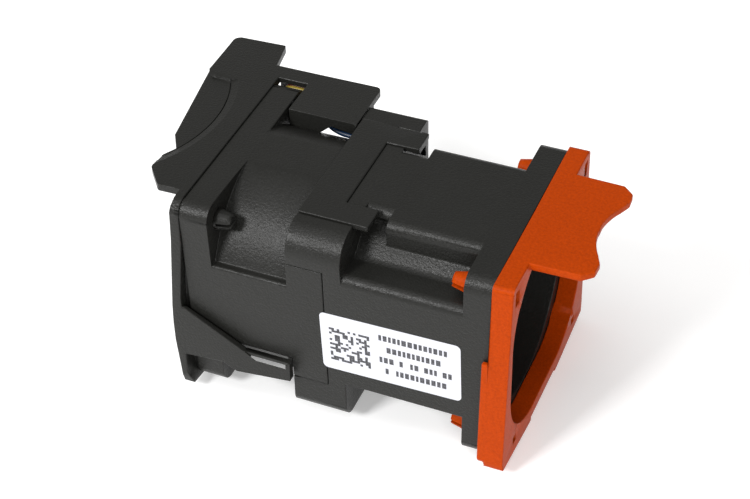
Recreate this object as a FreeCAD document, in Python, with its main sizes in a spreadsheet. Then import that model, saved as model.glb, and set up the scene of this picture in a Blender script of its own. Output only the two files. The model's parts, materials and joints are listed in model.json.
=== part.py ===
import FreeCAD, Part
import math
import os
import Sketcher
from FreeCAD import Placement, Rotation, Vector

# Hot-swap server fan module: two 40 mm fans in line, a clip-on bracket at each end.
# X runs along the airflow with the intake at +X, Z is up, and the origin is the middle of the
# underside. Every body is drawn about the airflow axis and then lifted to the axis height.
# All lengths are millimetres, all angles degrees.

DIMENSIONS = {
    # fan bodies; a text that starts with = is worked out from the sizes it names
    "duct_radius": 18.2,
    "frame_margin": 1.8,
    "section": "=2 * (duct_radius + frame_margin)",
    "fan_length": 56.0,
    "intake_flange": 4.8,
    "exhaust_flange": 5.2,
    "flange_corner": 2.8,
    "intake_duct_wall": 1.1,
    "exhaust_duct_wall": 2.2,
    "joint_offset": 8.6,
    "block_length": 10.1,
    "block_corner": 5.0,
    "pin_inset": 4.0,
    "screw_pitch": "=section - 2 * pin_inset",
    "pin_hole_radius": 1.75,
    "seam": 0.08,
    # side walls, top plate, tongue and clip
    "intake_wall_top": 13.3,
    "intake_back_wall_top": 10.0,
    "intake_wall_bottom": 11.4,
    "intake_wall_round": 1.7,
    "valley_round": 2.0,
    "exhaust_wall_top": 8.5,
    "exhaust_wall_bottom": 8.4,
    "plate_half": 11.7,
    "plate_round": 2.0,
    "plate_start": 6.4,
    "plate_neck_half": 8.8,
    "plate_depth": 7.0,
    "tongue_length": 6.7,
    "tongue_top": 13.3,
    "tongue_bottom": 12.6,
    "tongue_depth": 0.8,
    "clip_inset": 1.1,
    "clip_half": "=section / 2 - block_corner - clip_inset",
    "clip_arm": 12.7,
    "clip_rise": 0.3,
    # motor base and struts
    "base_inset": 0.5,
    "base_radius": "=core_radius + air_gap + magnet_wall + cup_wall + hub_wall - base_inset",
    "base_thickness": 1.6,
    "strut_count": 5,
    "strut_width": 1.5,
    "channel_inside": 2.3,
    "channel_wall": 0.6,
    "window_rise": 3.2,
    "intake_motor_face": -1.5,
    "outlet_depth": 3.7,
    "exhaust_motor_face": "=outlet_depth - fan_length / 2",
    # motor
    "board_inset": 0.7,
    "board_thickness": 0.8,
    "tube_outer": 3.8,
    "tube_inner": 3.0,
    "shaft_radius": 1.5,
    "bearing_width": 2.5,
    "race_wall": 0.4,
    "running_gap": 0.05,
    "core_radius": 8.2,
    "core_start": 3.0,
    "pole_count": 4,
    "air_gap": 0.3,
    "magnet_wall": 1.0,
    "cup_wall": 0.5,
    "coil_height": 1.0,
    "rotor_gap": 0.4,
    # impellers
    "hub_wall": 1.0,
    "hub_round": 2.0,
    "boss_radius": 2.4,
    "tip_gap": 0.45,
    "hub_front": 2.0,
    "intake_cup_depth": 17.0,
    "intake_blade_start": 4.4,
    "intake_blade_count": 7,
    "exhaust_cup_depth": 13.6,
    "exhaust_blade_start": 1.2,
    "exhaust_blade_count": 5,
    "blade_axial": 12.0,
    "blade_root_sweep": 3.6,
    "blade_tip_sweep": 6.6,
    "blade_camber": 1.5,
    "blade_thickness": 0.9,
    # end brackets
    "bracket_gap": 0.05,
    "arm_gap": 0.6,
    "arm_thickness": 1.8,
    "bracket_bottom_half": "=section / 2 + arm_gap + arm_thickness",
    "bracket_corner": 3.0,
    "foot_outer": 7.6,
    "foot_inner": 6.6,
    "foot_drop": 1.8,
    "foot_notch": 1.0,
    "opening_margin": 0.7,
    "opening_top": 0.4,
    "opening_bottom": 0.1,
    "opening_corner": 13.0,
    "slot_depth": 1.2,
    "intake_bracket_thickness": 3.6,
    "exhaust_bracket_thickness": 3.0,
    "finger_thickness": 1.4,
    "finger_step": 0.4,
    "finger_slope": 1.6,
    "finger_notch": 25.3,
    "lip_wrap": 1.2,
    "lip_top": 3.5,
    "pin_radius": 1.6,
    "pin_reach": 3.0,
    "pin_head": 1.95,
    "pin_tip": 1.3,
    "pin_slot": 0.6,
    "pin_root": 1.3,
    # cable cover and side arms on the exhaust bracket
    "bracket_rise": 0.3,
    "bow_depth": 1.0,
    "bow_width": 0.8,
    "arm_end": 8.3,
    "ledge_top": 8.3,
    "ledge_width": 1.0,
    "ledge_thickness": 0.6,
    "web_thickness": 0.6,
    "cover_end": 0.3,
    "cover_front": 11.7,
    "cover_skin": 1.2,
    "cover_wall_drop": 7.0,
    "cover_rib_drop": 3.3,
    # connector and leads
    "connector_gap": 0.2,
    "connector_depth": 3.4,
    "connector_front": "=section / 2 + connector_gap",
    "cover_back": "=connector_front + connector_depth",
    "connector_left": 10.6,
    "connector_right": 0.4,
    "connector_top": 12.6,
    "connector_bottom": 13.0,
    "connector_wall": 0.6,
    "head_left": 8.8,
    "head_right": 2.2,
    "head_depth": 4.3,
    "head_sole": 15.0,
    "contact_count": 8,
    "contact_pitch": 1.15,
    "contact_size": 0.5,
    "lead_radius": 0.5,
    "lead_pitch": 1.1,
}

doc = FreeCAD.newDocument("ServerFanModule")
sheet = doc.addObject("Spreadsheet::Sheet", "Size")


def fill_sheet():
    for row, alias in enumerate(DIMENSIONS, start=1):
        sheet.set(f"A{row}", alias.replace("_", " "))
        sheet.setAlias(f"B{row}", alias)
    for row, content in enumerate(DIMENSIONS.values(), start=1):
        sheet.set(f"B{row}", str(content))
    doc.recompute()


def value(expression):
    return float(sheet.evalExpression(str(expression)))


# ---- small helpers for bodies, sketches and features ----

def new_body(name, along="0"):
    # A body drawn about the airflow axis; along shifts it down the axis.
    body = doc.addObject("PartDesign::Body", name)
    body.Label = name
    body.AllowCompound = True
    body.setExpression("Placement.Base.x", along)
    body.setExpression("Placement.Base.z", "Size.section / 2")
    return body


def origin_feature(body, role):
    return next(item for item in body.Origin.OriginFeatures if item.Role == role)


def new_sketch(body, name, plane, offset="0"):
    sketch = body.newObject("Sketcher::SketchObject", f"{body.Name}_{name}")
    sketch.AttachmentSupport = [(origin_feature(body, plane), "")]
    sketch.MapMode = "FlatFace"
    sketch.setExpression("AttachmentOffset.Base.z", offset)
    return sketch


def pin_point(sketch, geometry, end, x, y):
    # Ties one point of the sketch to the sheet.
    for kind, expression in (("DistanceX", x), ("DistanceY", y)):
        index = sketch.addConstraint(Sketcher.Constraint(kind, -1, 1, geometry, end, value(expression)))
        sketch.setExpression(f"Constraints[{index}]", str(expression))


def add_circle(sketch, radius, x="0", y="0"):
    centre = Vector(value(x), value(y), 0)
    index = sketch.addGeometry(Part.Circle(centre, Vector(0, 0, 1), value(radius)))
    pin_point(sketch, index, 3, x, y)
    limit = sketch.addConstraint(Sketcher.Constraint("Radius", index, value(radius)))
    sketch.setExpression(f"Constraints[{limit}]", str(radius))


def add_outline(sketch, corners):
    # A closed outline. A corner is (x, y) or, with a rounding radius, (x, y, radius).
    points = [Vector(value(corner[0]), value(corner[1]), 0) for corner in corners]
    count = len(points)
    starts, ends, arcs = [], [], []
    for index, corner in enumerate(corners):
        here = points[index]
        before = (points[index - 1] - here).normalize()
        after = (points[(index + 1) % count] - here).normalize()
        if len(corner) == 2:
            starts.append(here)
            ends.append(here)
            arcs.append(None)
            continue
        radius = value(corner[2])
        half = before.getAngle(after) / 2
        reach = radius / math.tan(half)
        centre = here + (before + after).normalize() * (radius / math.sin(half))
        middle = centre + (here - centre).normalize() * radius
        starts.append(here + before * reach)
        ends.append(here + after * reach)
        arcs.append(Part.Arc(starts[-1], middle, ends[-1]))
    for index, corner in enumerate(corners):
        following = (index + 1) % count
        if arcs[index]:
            sketch.addGeometry(arcs[index])
        if (starts[following] - ends[index]).Length > 1e-6:
            line = sketch.addGeometry(Part.LineSegment(ends[index], starts[following]))
            if not arcs[index]:
                pin_point(sketch, line, 1, corner[0], corner[1])
            if not arcs[following]:
                pin_point(sketch, line, 2, corners[following][0], corners[following][1])


def add_box(sketch, left, right, low, high):
    add_outline(sketch, [(left, low), (right, low), (right, high), (left, high)])


def feature(body, kind, sketch, name, length, reverse=False, symmetric=False):
    item = body.newObject(f"PartDesign::{kind}", f"{body.Name}_{name}")
    item.Profile = sketch
    item.setExpression("Length", length)
    item.Reversed = reverse
    item.SideType = "Symmetric" if symmetric else "One side"
    return item


def pad(body, sketch, length, symmetric=False):
    return feature(body, "Pad", sketch, sketch.Label + "_pad", length, symmetric=symmetric)


def cut(body, sketch, length, symmetric=False):
    # Cuts along the sketch's own normal.
    return feature(body, "Pocket", sketch, sketch.Label + "_cut", length, True, symmetric)


def polar(body, originals, count, name):
    pattern = body.newObject("PartDesign::PolarPattern", f"{body.Name}_{name}")
    pattern.Originals = originals
    pattern.Axis = (origin_feature(body, "X_Axis"), [""])
    pattern.Angle = 360
    pattern.setExpression("Occurrences", count)
    body.Tip = pattern
    return pattern


def turn(body, kind, sketch, name):
    # A full turn of the sketch about the airflow axis.
    item = body.newObject(f"PartDesign::{kind}", f"{body.Name}_{name}")
    item.Profile = sketch
    item.ReferenceAxis = (origin_feature(body, "X_Axis"), [""])
    item.Angle = 360
    return item


def ring(name, outer, inner, start, length, along):
    body = new_body(name, along)
    add_ring(body, "ring", outer, inner, start, length)
    return body


def add_ring(body, name, outer, inner, start, length):
    sketch = new_sketch(body, name, "YZ_Plane", start)
    add_circle(sketch, outer)
    if inner:
        add_circle(sketch, inner)
    pad(body, sketch, length)


# ---- the two fan frames ----

HALF = "Size.section / 2"
INTAKE_DUCT = "Size.duct_radius + Size.intake_duct_wall"
EXHAUST_DUCT = "Size.duct_radius + Size.exhaust_duct_wall"
INTAKE_INNER = "Size.fan_length / 2 - Size.intake_flange"
EXHAUST_INNER = "Size.fan_length / 2 - Size.exhaust_flange"
DUCT_HOLD = "Size.duct_radius + Size.intake_duct_wall / 2"


def add_flange(body, start, thickness):
    sketch = new_sketch(body, "flange", "YZ_Plane", start)
    corner = "Size.flange_corner"
    add_outline(sketch, [(f"-{HALF}", f"-{HALF}", corner), (HALF, f"-{HALF}", corner),
                         (HALF, HALF, corner), (f"-{HALF}", HALF, corner)])
    pad(body, sketch, thickness)


def add_duct(body, start, length, radius):
    sketch = new_sketch(body, "duct", "YZ_Plane", start)
    add_circle(sketch, radius)
    pad(body, sketch, length)


def trim_to_section(body, radius):
    # Flattens a duct that is a little wider than the module's square section.
    sketch = new_sketch(body, "section_trim", "YZ_Plane")
    far = f"{radius} + 1"
    add_box(sketch, f"-({far})", far, f"-({far})", far)
    add_box(sketch, f"-{HALF}", HALF, f"-{HALF}", HALF)
    cut(body, sketch, "3 * Size.fan_length", symmetric=True)


def add_side_walls(body, start, length, tops, bottom, rounding, duct):
    # A flat wall on each side of the round duct; its inner part is lost in the bore later. Where the
    # wall's top meets the duct the valley is rounded.
    sketch = new_sketch(body, "walls", "YZ_Plane", start)
    inner = "Size.duct_radius - 7"
    radius = value(duct)
    for sign, top in zip(("-", ""), tops):
        level = value(top)
        lean = math.asin(level / radius) + math.radians(4)
        foot = (radius - level * math.sin(lean)) / math.cos(lean)
        corners = [(f"{sign}({inner})", f"-({bottom})"), (f"{sign}({HALF})", f"-({bottom})"),
                   (f"{sign}({HALF})", top, rounding)]
        if value(HALF) - foot > 2 * value("Size.valley_round"):
            corners += [(f"{sign}({foot})", top, "Size.valley_round"),
                        (f"{sign}({radius * math.cos(lean)})", f"{radius * math.sin(lean)}")]
        add_outline(sketch, corners + [(f"{sign}({inner})", top)])
    pad(body, sketch, length)


def add_bore(body):
    sketch = new_sketch(body, "bore", "YZ_Plane")
    add_circle(sketch, "Size.duct_radius")
    cut(body, sketch, "3 * Size.fan_length", symmetric=True)


def add_pin_holes(body, middle):
    sketch = new_sketch(body, "pin_holes", "YZ_Plane", middle)
    for side in ("-", ""):
        for level in ("-", ""):
            add_circle(sketch, "Size.pin_hole_radius", f"{side}Size.screw_pitch / 2",
                       f"{level}Size.screw_pitch / 2")
    cut(body, sketch, "1.5 * Size.exhaust_flange", symmetric=True)


def add_motor_base(body, face):
    # A disc that carries the motor, on radial struts; the strut towards +Y is a channel for leads.
    back = f"{face} - Size.base_thickness"
    disc = new_sketch(body, "base", "YZ_Plane", back)
    add_circle(disc, "Size.base_radius")
    pad(body, disc, "Size.base_thickness")
    floor = new_sketch(body, "channel_floor", "YZ_Plane", back)
    side = "Size.channel_inside / 2 + Size.channel_wall"
    add_box(floor, "Size.base_radius - 1", DUCT_HOLD, f"-({side})", side)
    pad(body, floor, "Size.base_thickness")


def add_channel_lips(body, face, depth):
    lips = new_sketch(body, "channel_lips", "YZ_Plane", f"{face} - Size.base_thickness - ({depth})")
    inner = "Size.channel_inside / 2"
    outer = f"{inner} + Size.channel_wall"
    start = "Size.base_radius - 0.6"
    add_box(lips, start, DUCT_HOLD, inner, outer)
    add_box(lips, start, DUCT_HOLD, f"-({outer})", f"-({inner})")
    pad(body, lips, f"{depth} + Size.base_thickness / 2")


def add_struts(body, face):
    # Plain struts at equal angles; the first lies under the lead channel's floor.
    sketch = new_sketch(body, "strut", "YZ_Plane", f"{face} - Size.base_thickness")
    half = "Size.strut_width / 2"
    add_box(sketch, "Size.base_radius - 1", DUCT_HOLD, f"-{half}", half)
    first = pad(body, sketch, "Size.base_thickness")
    polar(body, [first], "Size.strut_count", "struts")


def add_tube_seat(body):
    sketch = new_sketch(body, "tube_seat", "YZ_Plane")
    add_circle(sketch, "Size.tube_outer")
    cut(body, sketch, "3 * Size.fan_length", symmetric=True)


def add_lead_window(body, start, length, inner, rise):
    # The way out through the wall; rise leaves room above for leads that bend upwards.
    sketch = new_sketch(body, "lead_window", "YZ_Plane", start)
    half = "Size.channel_inside / 2"
    add_box(sketch, inner, f"{HALF} + 1", f"-{half}", f"{half} + {rise}")
    cut(body, sketch, length)


def intake_fan_frame():
    body = new_body("intake_fan_frame")
    joint = "-Size.joint_offset"
    block_end = "Size.block_length - Size.joint_offset"
    add_flange(body, INTAKE_INNER, "Size.intake_flange")
    add_duct(body, joint, "Size.fan_length / 2 + Size.joint_offset", INTAKE_DUCT)
    block = new_sketch(body, "block", "YZ_Plane", joint)
    top, foot = "Size.block_corner", "Size.flange_corner"
    add_outline(block, [(f"-{HALF}", f"-{HALF}", foot), (HALF, f"-{HALF}", foot),
                        (HALF, HALF, top), (f"-{HALF}", HALF, top)])
    pad(body, block, "Size.block_length")
    add_side_walls(body, block_end, f"{INTAKE_INNER} - ({block_end})",
                   ("Size.intake_wall_top", "Size.intake_back_wall_top"), "Size.intake_wall_bottom",
                   "Size.intake_wall_round", INTAKE_DUCT)
    for name, half, start, end in (
            ("plate", "Size.plate_half", "Size.plate_start", INTAKE_INNER),
            ("plate_neck", "Size.plate_neck_half", "Size.tongue_length - Size.joint_offset",
             "Size.plate_start")):
        sketch = new_sketch(body, name, "YZ_Plane", start)
        add_outline(sketch, [(f"-{half}", f"{HALF} - Size.plate_depth"),
                             (half, f"{HALF} - Size.plate_depth"),
                             (half, HALF, "Size.plate_round"), (f"-{half}", HALF, "Size.plate_round")])
        pad(body, sketch, f"{end} - ({start})")
    add_bore(body)
    add_clip_seat(body)
    add_tongue_seat(body)
    add_head_seat(body)
    add_pin_holes(body, "Size.fan_length / 2 - Size.intake_flange / 2")
    face = "Size.intake_motor_face"
    add_motor_base(body, face)
    add_struts(body, face)
    add_channel_lips(body, face, "2 * Size.lead_pitch")
    add_tube_seat(body)
    add_lead_window(body, f"{face} - Size.base_thickness - 2 * Size.lead_pitch", "2 * Size.lead_pitch",
                    "Size.duct_radius - 1", "0")
    return body


def head_corners(spare):
    # Section of the connector's head, which fills the block's upper back corner.
    near, sole = f"Size.clip_half + Size.bracket_gap - {spare}", f"Size.head_sole - {spare}"
    heel = f"Size.connector_top - {spare}"
    return [(near, sole), (f"{HALF} - 3.3 - {spare}", sole), (f"{HALF} - 3.1 - {spare}", heel)]


def add_head_seat(body):
    sketch = new_sketch(body, "head_seat", "YZ_Plane", "-Size.joint_offset - 1")
    far = f"{HALF} + 1"
    inside = head_corners("Size.bracket_gap")
    add_outline(sketch, inside + [(far, inside[2][1]), (far, far), (inside[0][0], far)])
    cut(body, sketch, "Size.block_length + 1")


def clip_corners(spare):
    # The U of the top clip in plan: a bar along the joint and two arms either side of the plate's neck.
    bar_end = "Size.tongue_length - Size.joint_offset"
    arm_end = "Size.clip_arm - Size.joint_offset"
    neck = "Size.plate_neck_half + Size.seam"
    half = f"Size.clip_half + {spare}"
    return [("-Size.joint_offset", f"-({half})"), (f"{arm_end} + {spare}", f"-({half})"),
            (f"{arm_end} + {spare}", f"-({neck} - {spare})"), (bar_end, f"-({neck} - {spare})"),
            (bar_end, f"{neck} - {spare}"), (f"{arm_end} + {spare}", f"{neck} - {spare}"),
            (f"{arm_end} + {spare}", half), ("-Size.joint_offset", half)]


def add_clip_seat(body):
    sketch = new_sketch(body, "clip_seat", "XY_Plane", f"{HALF} - Size.tongue_depth - Size.seam")
    add_outline(sketch, clip_corners("Size.seam"))
    cut(body, sketch, "2 * Size.tongue_depth")


def add_tongue_seat(body):
    sketch = new_sketch(body, "tongue_seat", "YZ_Plane", "-Size.joint_offset")
    add_box(sketch, f"-({HALF} + 1)", f"-({HALF} - Size.tongue_depth - Size.seam)",
            "-Size.tongue_bottom - Size.seam", "Size.tongue_top + Size.seam")
    cut(body, sketch, "Size.tongue_length + Size.seam")


def exhaust_fan_frame():
    body = new_body("exhaust_fan_frame")
    end = "-Size.fan_length / 2"
    inner = f"-({EXHAUST_INNER})"
    duct_length = "Size.fan_length / 2 - Size.joint_offset"
    add_flange(body, end, "Size.exhaust_flange")
    add_duct(body, end, duct_length, EXHAUST_DUCT)
    add_side_walls(body, inner, f"{duct_length} - Size.exhaust_flange", ("Size.exhaust_wall_top",) * 2,
                   "Size.exhaust_wall_bottom", "Size.intake_duct_wall / 2", EXHAUST_DUCT)
    trim_to_section(body, EXHAUST_DUCT)
    add_bore(body)
    tongue = new_sketch(body, "tongue", "YZ_Plane", "-Size.joint_offset")
    add_box(tongue, f"-{HALF}", f"-({HALF} - Size.tongue_depth)", "-Size.tongue_bottom",
            "Size.tongue_top")
    pad(body, tongue, "Size.tongue_length")
    clip = new_sketch(body, "clip", "XY_Plane", f"{HALF} - Size.tongue_depth")
    add_outline(clip, clip_corners("0"))
    pad(body, clip, "Size.tongue_depth + Size.clip_rise")
    add_pin_holes(body, "Size.exhaust_flange / 2 - Size.fan_length / 2")
    face = "Size.exhaust_motor_face"
    add_motor_base(body, face)
    add_struts(body, face)
    channel = f"{face} - Size.base_thickness - ({end})"
    add_channel_lips(body, face, channel)
    add_tube_seat(body)
    add_lead_window(body, end, channel, "Size.duct_radius - 3", "Size.window_rise")
    return body


# ---- motor parts; along is the motor face, from which the motor grows towards the intake ----

MAGNET_INNER = "Size.core_radius + Size.air_gap"
CUP_INNER = f"{MAGNET_INNER} + Size.magnet_wall"
HUB_INNER = f"{CUP_INNER} + Size.cup_wall"
HUB_OUTER = f"{HUB_INNER} + Size.hub_wall"
REAR_BEARING = "-Size.base_thickness + 0.9"


def tube_end(prefix):
    return f"Size.{prefix}_cup_depth - 2.4"


def front_bearing(prefix):
    return f"{tube_end(prefix)} - Size.bearing_width"


def core_stack(prefix):
    # The laminations fill the tube's height less the room for the coils' ends.
    return f"Size.{prefix}_cup_depth - Size.core_start - 2 * Size.coil_height - 1.2"


def bearing_tube(prefix, along):
    ring(f"{prefix}_bearing_tube", "Size.tube_outer", "Size.tube_inner", "-Size.base_thickness",
         f"{tube_end(prefix)} + Size.base_thickness", along)


def circuit_board(prefix, along):
    ring(f"{prefix}_circuit_board", "Size.base_radius - Size.board_inset", "Size.tube_outer", "0",
         "Size.board_thickness", along)


def stator_core(prefix, along):
    # Laminated core: a bore ring and T-shaped poles.
    body = new_body(f"{prefix}_stator_core", along)
    start, stack = "Size.core_start", core_stack(prefix)
    pole = new_sketch(body, "pole", "YZ_Plane", start)
    add_box(pole, "Size.tube_outer + 0.4", "Size.core_radius - 0.8", "-0.8", "0.8")
    neck = pad(body, pole, stack)
    shoe = new_sketch(body, "shoe", "YZ_Plane", start)
    outer, inner = value("Size.core_radius"), value("Size.core_radius - 1")
    reach = math.radians(0.78 * 180 / value("Size.pole_count"))
    rim = [Vector(outer * math.cos(turned), outer * math.sin(turned), 0) for turned in (-reach, 0, reach)]
    heel = [Vector(inner * math.cos(turned), inner * math.sin(turned), 0) for turned in (reach, 0, -reach)]
    shoe.addGeometry(Part.Arc(*rim))
    shoe.addGeometry(Part.LineSegment(rim[2], heel[0]))
    shoe.addGeometry(Part.Arc(*heel))
    shoe.addGeometry(Part.LineSegment(heel[2], rim[0]))
    tip = pad(body, shoe, stack)
    polar(body, [neck, tip], "Size.pole_count", "poles")
    add_ring(body, "bore_ring", "Size.tube_outer + 1.2", "Size.tube_outer", start, stack)


def windings(prefix, along):
    # One coil round each pole's neck, standing out above and below the stack.
    body = new_body(f"{prefix}_windings", along)
    stack = core_stack(prefix)
    sketch = new_sketch(body, "coil", "YZ_Plane", "Size.core_start - Size.coil_height")
    add_box(sketch, "Size.tube_outer + 1.4", "Size.core_radius - 1.6", "-2.2", "2.2")
    coil = pad(body, sketch, f"{stack} + 2 * Size.coil_height")
    slot = new_sketch(body, "coil_slot", "YZ_Plane", "Size.core_start - 0.05")
    add_box(slot, "Size.tube_outer", "Size.core_radius", "-0.85", "0.85")
    opening = cut(body, slot, f"{stack} + 0.1")
    polar(body, [coil, opening], "Size.pole_count", "coils")


def bearing_races(prefix, along):
    # Two ball bearings: the outer races sit in the tube, the inner ones turn with the shaft.
    outer = new_body(f"{prefix}_outer_races", along)
    inner = new_body(f"{prefix}_inner_races", along)
    for name, start in (("rear", REAR_BEARING), ("front", front_bearing(prefix))):
        add_ring(outer, name, "Size.tube_inner", "Size.tube_inner - Size.race_wall", start,
                 "Size.bearing_width")
        add_ring(outer, name + "_shield", "Size.tube_inner - Size.race_wall / 2",
                 "Size.shaft_radius + Size.race_wall + Size.running_gap", f"{start} + 0.1", "0.2")
        add_ring(inner, name, "Size.shaft_radius + Size.race_wall", "Size.shaft_radius", start,
                 "Size.bearing_width")


def shaft(prefix, along):
    ring(f"{prefix}_shaft", "Size.shaft_radius", "", "-Size.base_thickness + 0.2",
         f"Size.{prefix}_cup_depth + Size.base_thickness + 0.4", along)


def retaining_ring(prefix, along):
    # Split ring under the rear bearing that keeps the shaft in.
    body = new_body(f"{prefix}_retaining_ring", along)
    sketch = new_sketch(body, "clip", "YZ_Plane", "-Size.base_thickness + 0.4")
    add_circle(sketch, "Size.shaft_radius + 0.8")
    add_circle(sketch, "Size.shaft_radius")
    pad(body, sketch, "0.4")
    gap = new_sketch(body, "gap", "YZ_Plane", "-Size.base_thickness")
    add_box(gap, "0", "Size.tube_inner", "-0.5", "0.5")
    cut(body, gap, "1.5")


def preload_washer(prefix, along):
    # Cone spring washer between the rotor boss and the front bearing's inner race.
    body = new_body(f"{prefix}_preload_washer", along)
    sketch = new_sketch(body, "cone", "XZ_Plane")
    front = tube_end(prefix)
    inner, outer = "Size.shaft_radius + 0.02", "Size.boss_radius - 0.2"
    add_outline(sketch, [(front, inner), (f"{front} + 0.2", inner), (f"{front} + 0.5", outer),
                         (f"{front} + 0.3", outer)])
    turn(body, "Revolution", sketch, "turned")


def magnet_ring(prefix, along):
    ring(f"{prefix}_magnet_ring", CUP_INNER, MAGNET_INNER, "Size.core_start - 0.8",
         f"{core_stack(prefix)} + 1.6", along)


def rotor_cup(prefix, along):
    # Steel yoke pressed into the impeller hub, with a hole for the hub's boss.
    body = new_body(f"{prefix}_rotor_cup", along)
    sketch = new_sketch(body, "section", "XZ_Plane")
    start, depth = "Size.board_thickness + 0.6", f"Size.{prefix}_cup_depth"
    inner, outer, hole = CUP_INNER, HUB_INNER, "Size.boss_radius"
    add_outline(sketch, [(start, inner), (f"{depth} - Size.cup_wall", inner),
                         (f"{depth} - Size.cup_wall", hole), (depth, hole), (depth, outer),
                         (start, outer)])
    turn(body, "Revolution", sketch, "turned")


def blade_section(body, name, height, start, sweep, hand):
    # One thin cambered section of a blade, square to the radius, at the given height.
    sketch = new_sketch(body, name, "XY_Plane", height)
    axial, lean = value("Size.blade_axial"), hand * value(sweep)
    tail = Vector(value(start), -lean, 0)
    nose = tail + Vector(axial, 2 * lean, 0)
    chord = (nose - tail).normalize()
    across = Vector(-chord.y, chord.x, 0) * hand
    middle = (nose + tail) / 2 + across * value("Size.blade_camber")
    thick, thin = value("Size.blade_thickness") / 2, value("Size.blade_thickness") / 5
    upper = [tail + across * thin, middle + across * thick, nose + across * thin]
    lower = [nose - across * thin, middle - across * thick, tail - across * thin]
    sketch.addGeometry(Part.Arc(*upper))
    sketch.addGeometry(Part.LineSegment(upper[2], lower[0]))
    sketch.addGeometry(Part.Arc(*lower))
    sketch.addGeometry(Part.LineSegment(lower[2], upper[0]))
    return sketch


def impeller(prefix, along, hand):
    body = new_body(f"{prefix}_impeller", along)
    outer, rounding, start = HUB_OUTER, "Size.hub_round", "Size.rotor_gap"
    depth, blade_start = f"Size.{prefix}_cup_depth", f"Size.{prefix}_blade_start"
    hub_length = f"{depth} + Size.hub_front"
    hub = new_sketch(body, "hub", "XZ_Plane")
    add_outline(hub, [(start, "0"), (hub_length, "0"), (hub_length, outer, rounding), (start, outer)])
    turn(body, "Revolution", hub, "turned")
    root = blade_section(body, "blade_root", f"{HUB_INNER} + 0.2", blade_start,
                         "Size.blade_root_sweep", hand)
    tip = blade_section(body, "blade_tip", "Size.duct_radius + 0.5", blade_start,
                        "Size.blade_tip_sweep", hand)
    blade = body.newObject("PartDesign::AdditiveLoft", f"{body.Name}_blade")
    blade.Profile = root
    blade.Sections = [tip]
    blade.Ruled = False
    polar(body, [blade], f"Size.{prefix}_blade_count", "blades")
    trim = new_sketch(body, "tip_trim", "XZ_Plane")
    add_box(trim, "-2", f"{hub_length} + 6", "Size.duct_radius - Size.tip_gap",
            "Size.duct_radius + 8")
    turn(body, "Groove", trim, "tip_cut")
    hollow = new_sketch(body, "hollow", "XZ_Plane")
    front = f"{depth} + 0.6"
    boss_start = f"{tube_end(prefix)} + 0.5"
    add_outline(hollow, [("-1", "0"), (front, "0"), (front, "Size.shaft_radius"),
                         (boss_start, "Size.shaft_radius"), (boss_start, "Size.boss_radius"),
                         (depth, "Size.boss_radius"), (depth, HUB_INNER), ("-1", HUB_INNER)])
    turn(body, "Groove", hollow, "hollow_cut")
    return body


def motor(prefix, along):
    bearing_tube(prefix, along)
    circuit_board(prefix, along)
    stator_core(prefix, along)
    windings(prefix, along)
    bearing_races(prefix, along)
    shaft(prefix, along)
    retaining_ring(prefix, along)
    preload_washer(prefix, along)
    magnet_ring(prefix, along)
    rotor_cup(prefix, along)


# ---- end brackets ----

def bracket_outline(top, corner):
    # Wider at the bottom than at the top, with two feet; mirrored about the middle.
    wide, foot = "Size.bracket_bottom_half", f"-({HALF} + Size.foot_drop)"
    right = [("Size.foot_inner", f"-({HALF} + Size.foot_notch)"), ("Size.foot_inner", foot),
             ("Size.foot_outer", foot), (f"{wide} - 0.4", f"-({HALF} - 0.3)", "0.3"),
             (wide, f"-({HALF} - 2)"), (HALF, top, corner)]
    left = [(f"-({spot[0]})",) + spot[1:] for spot in reversed(right)]
    return right + left


def add_bracket_plate(body, start, thickness, top, corner):
    sketch = new_sketch(body, "plate", "YZ_Plane", start)
    add_outline(sketch, bracket_outline(top, corner))
    pad(body, sketch, thickness)


def add_opening(body, start, length):
    sketch = new_sketch(body, "opening", "YZ_Plane", start)
    wide, corner = "Size.duct_radius + Size.opening_margin", "Size.opening_corner"
    low, high = "-(Size.duct_radius + Size.opening_bottom)", "Size.duct_radius + Size.opening_top"
    add_outline(sketch, [(f"-({wide})", low, corner), (wide, low, corner), (wide, high, corner),
                         (f"-({wide})", high, corner)])
    cut(body, sketch, length)


def add_snap_pins(body, root, direction, flange):
    # Four split pins that pass the flange's screw holes and hook behind it.
    back = f"{root} + ({direction}) * ({flange} + Size.bracket_gap)"
    split = new_sketch(body, "pin_split", "YZ_Plane", f"{back} - Size.pin_reach - 0.1")
    for side in ("-", ""):
        for level in ("-", ""):
            name = f"pin_{'n' if side else 'p'}{'l' if level else 'u'}"
            across, up = f"{side}Size.screw_pitch / 2", f"{level}Size.screw_pitch / 2"
            shank = new_sketch(body, name, "YZ_Plane", f"{root} - ({direction}) * Size.pin_root")
            add_circle(shank, "Size.pin_radius", across, up)
            shank_pad = pad(body, shank, f"{flange} + Size.pin_root + 0.4")
            shank_pad.Reversed = value(direction) < 0
            foot = new_sketch(body, name + "_hook", "YZ_Plane", f"{back} + ({direction}) * 0.05")
            add_circle(foot, "Size.pin_head", across, up)
            tip = new_sketch(body, name + "_tip", "YZ_Plane", f"{back} + ({direction}) * Size.pin_reach")
            add_circle(tip, "Size.pin_tip", across, up)
            head = body.newObject("PartDesign::AdditiveLoft", f"{body.Name}_{name}_head")
            head.Profile = foot
            head.Sections = [tip]
            reach, slot = "Size.pin_head + 0.1", "Size.pin_slot / 2"
            add_box(split, f"{across} - {reach}", f"{across} + {reach}", f"{up} - {slot}", f"{up} + {slot}")
    cut(body, split, "2 * Size.pin_reach + 0.2")


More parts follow.
